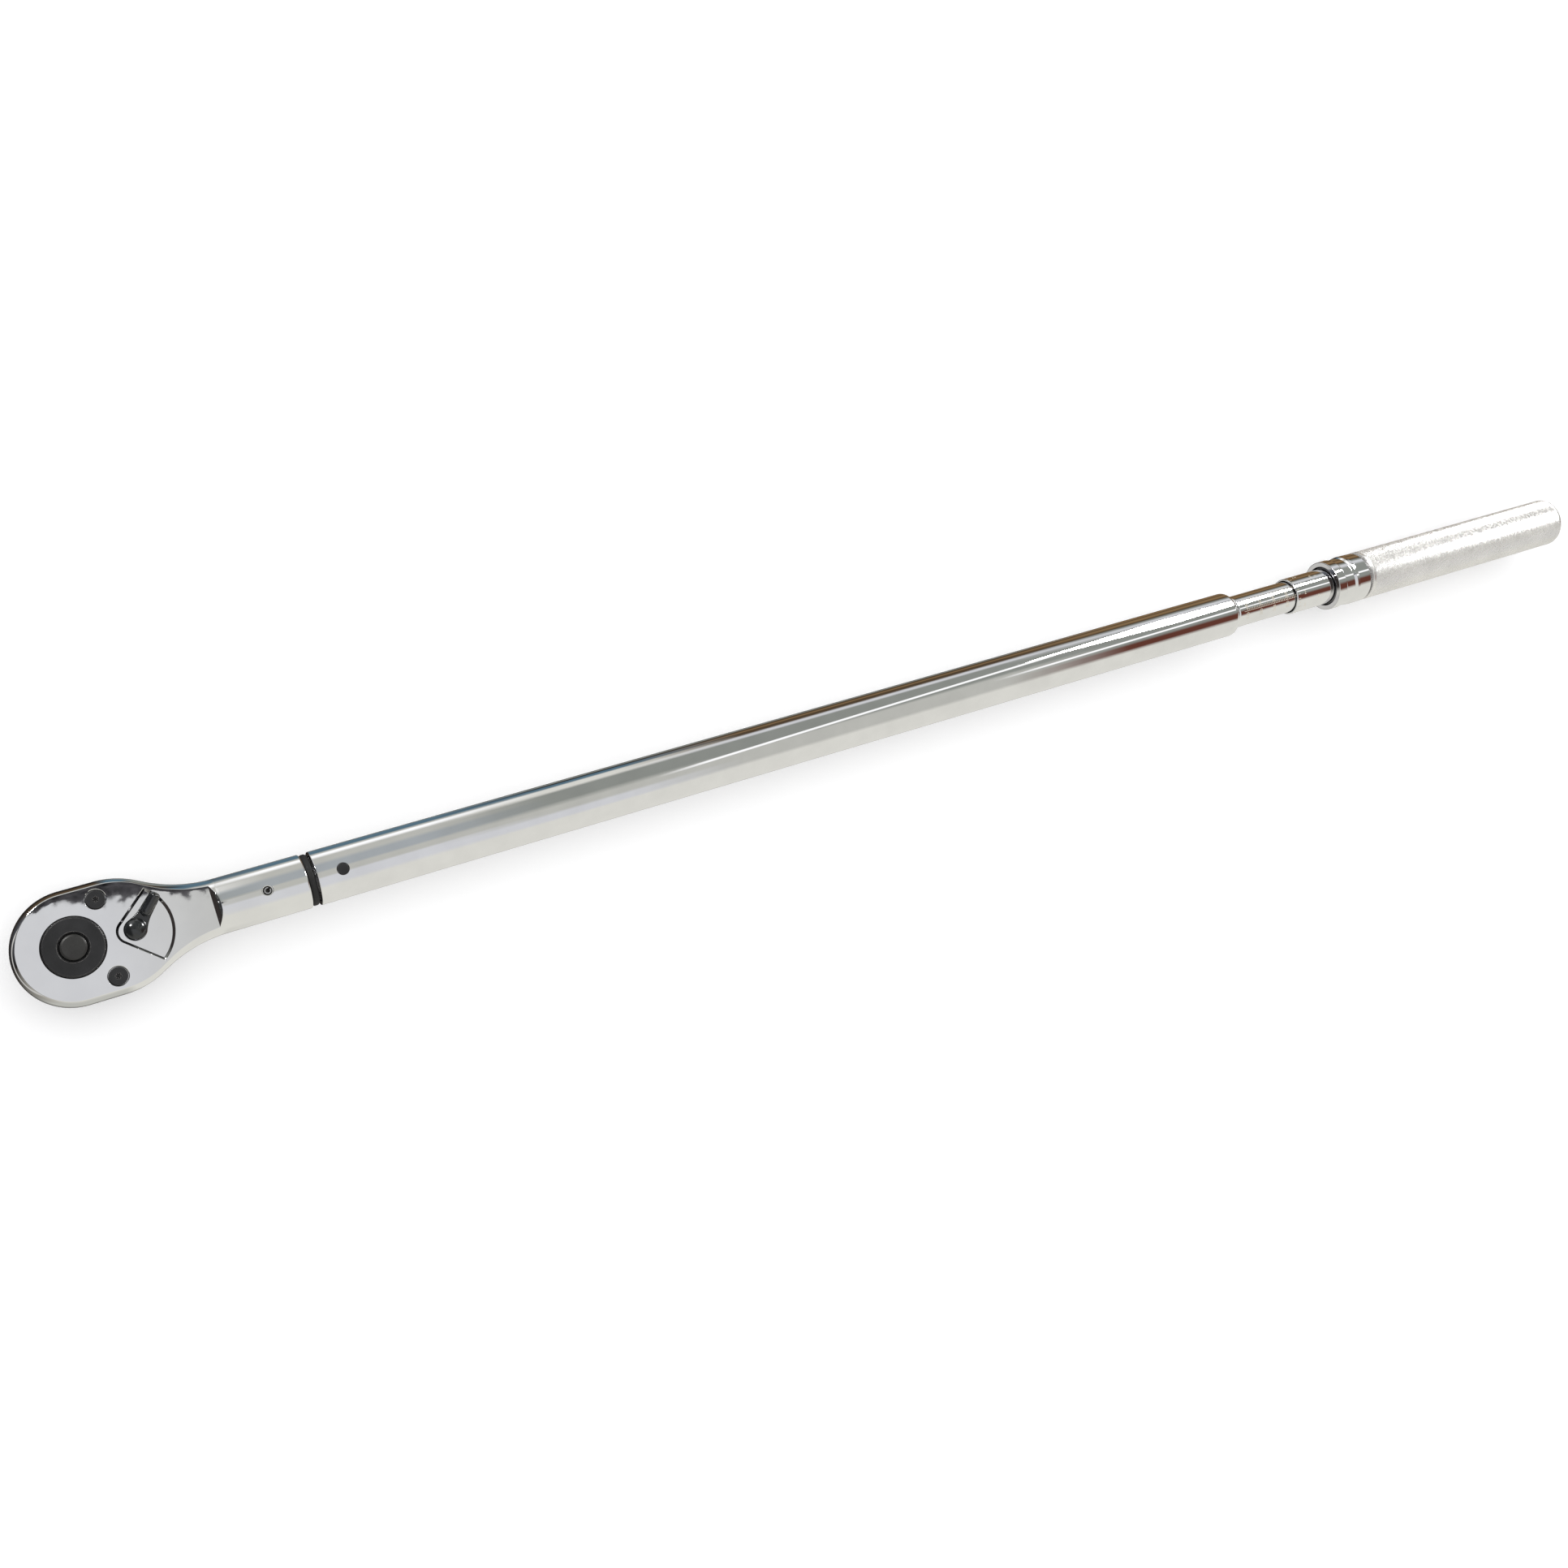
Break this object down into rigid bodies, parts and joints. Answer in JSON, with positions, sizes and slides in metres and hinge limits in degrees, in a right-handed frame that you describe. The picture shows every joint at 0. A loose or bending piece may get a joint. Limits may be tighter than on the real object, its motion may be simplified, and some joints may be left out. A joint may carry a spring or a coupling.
{
  "type": "torque wrench",
  "caption": "Micrometer click torque wrench with a reversible square-drive ratchet head, sliding scale, lock ring and knurled metal grip.",
  "frame": {"origin": "where the drive axis crosses the tool's centre line", "axes": "+X along the tool towards the grip, +Z out of the lever side of the head; the square drive points along -Z"},
  "size_m": [1.1811, 0.0642, 0.0561],
  "materials": {
    "chrome": "polished chrome plate",
    "knurled_chrome": "satin chrome over fine diamond knurl",
    "black_steel": "satin black oxide",
    "gloss_black": "glossy black",
    "steel": "ground steel",
    "spring_steel": "oiled spring steel",
    "brass": "machined brass",
    "rubber": "matte black rubber"
  },
  "bodies": {
    "tube": {"main_tube": "chrome", "pivot_pin": "black_steel", "plunger_bush": "brass", "scale_barrel": "chrome", "adjusting_nut": "brass", "barrel_screw": "black_steel", "main_spring": "spring_steel"},
    "head": {"ratchet_head": "chrome", "cover_plate": "chrome", "cover_screw_upper": "black_steel", "cover_screw_lower": "black_steel", "pawl_plunger": "steel", "pawl_spring": "spring_steel", "tongue_bar": "steel", "head_pin": "steel", "dust_ring": "rubber"},
    "drive": {"drive_gear": "black_steel", "release_spring": "spring_steel"},
    "button": {"release_button": "black_steel"},
    "socket_ball": {"socket_ball": "steel"},
    "lever": {"reversing_lever": "gloss_black"},
    "pawl": {"pawl": "steel"},
    "click_block": {"click_block": "steel"},
    "plunger": {"plunger": "steel"},
    "spring_seat": {"spring_seat": "steel", "push_rod": "steel", "thrust_washer": "brass"},
    "handle": {"adjusting_screw": "steel", "handle_hub": "steel", "thimble": "chrome", "grip": "knurled_chrome", "end_cap": "steel", "end_screw": "black_steel", "lock_ball_left": "steel", "lock_ball_right": "steel", "lock_stop_ring": "spring_steel", "lock_spring": "spring_steel"},
    "lock_ring": {"lock_ring": "chrome"}
  },
  "joints": [
    {"name": "head_click", "type": "hinge", "parent": "tube", "child": "head", "pos_m": [0.1469, 0, 0], "axis": [0, 0, 1], "range_deg": [-1.5, 1.5], "stiffness_Nm_per_rad": 200},
    {"name": "block_tilt", "type": "hinge", "parent": "tube", "child": "click_block", "pos_m": [0.2263, 0, 0], "axis": [0, 0, 1], "range_deg": [-7.5, 7.5]},
    {"name": "plunger_slide", "type": "slide", "parent": "tube", "child": "plunger", "axis": [1, 0, 0], "range_m": [0, 0.0006], "stiffness_N_per_m": 2000},
    {"name": "drive_spin", "type": "hinge", "parent": "head", "child": "drive", "pos_m": [0, 0, 0], "axis": [0, 0, 1], "continuous": true},
    {"name": "release_push", "type": "slide", "parent": "drive", "child": "button", "axis": [0, 0, -1], "range_m": [0, 0.0026], "stiffness_N_per_m": 600, "deforming": ["release_spring"]},
    {"name": "socket_ball_slide", "type": "slide", "parent": "drive", "child": "socket_ball", "axis": [-1, 0, 0], "range_m": [0, 0.0014]},
    {"name": "lever_swing", "type": "hinge", "parent": "head", "child": "lever", "pos_m": [0.0324, 0, 0], "axis": [0, 0, 1], "range_deg": [-93.2, 0]},
    {"name": "pawl_rock", "type": "hinge", "parent": "head", "child": "pawl", "pos_m": [0.0324, 0, 0], "axis": [0, 0, 1], "range_deg": [-12.03, 0]},
    {"name": "preload_slide", "type": "slide", "parent": "tube", "child": "spring_seat", "axis": [-1, 0, 0], "range_m": [0, 0.05001], "deforming": ["main_spring"]},
    {"name": "grip_turn", "type": "hinge", "parent": "spring_seat", "child": "handle", "pos_m": [0.9, 0, 0], "axis": [-1, 0, 0], "range_deg": [0, 7200]},
    {"name": "lock_slide", "type": "slide", "parent": "handle", "child": "lock_ring", "axis": [-1, 0, 0], "range_m": [0, 0.005], "deforming": ["lock_spring"]}
  ],
  "couplings": [
    {"joint": "block_tilt", "follows": "head_click", "ratio": -5},
    {"joint": "socket_ball_slide", "follows": "release_push", "ratio": 0.538},
    {"joint": "pawl_rock", "follows": "lever_swing", "ratio": 0.129},
    {"joint": "preload_slide", "follows": "grip_turn", "m_per_rad": 0.00039789}
  ]
}
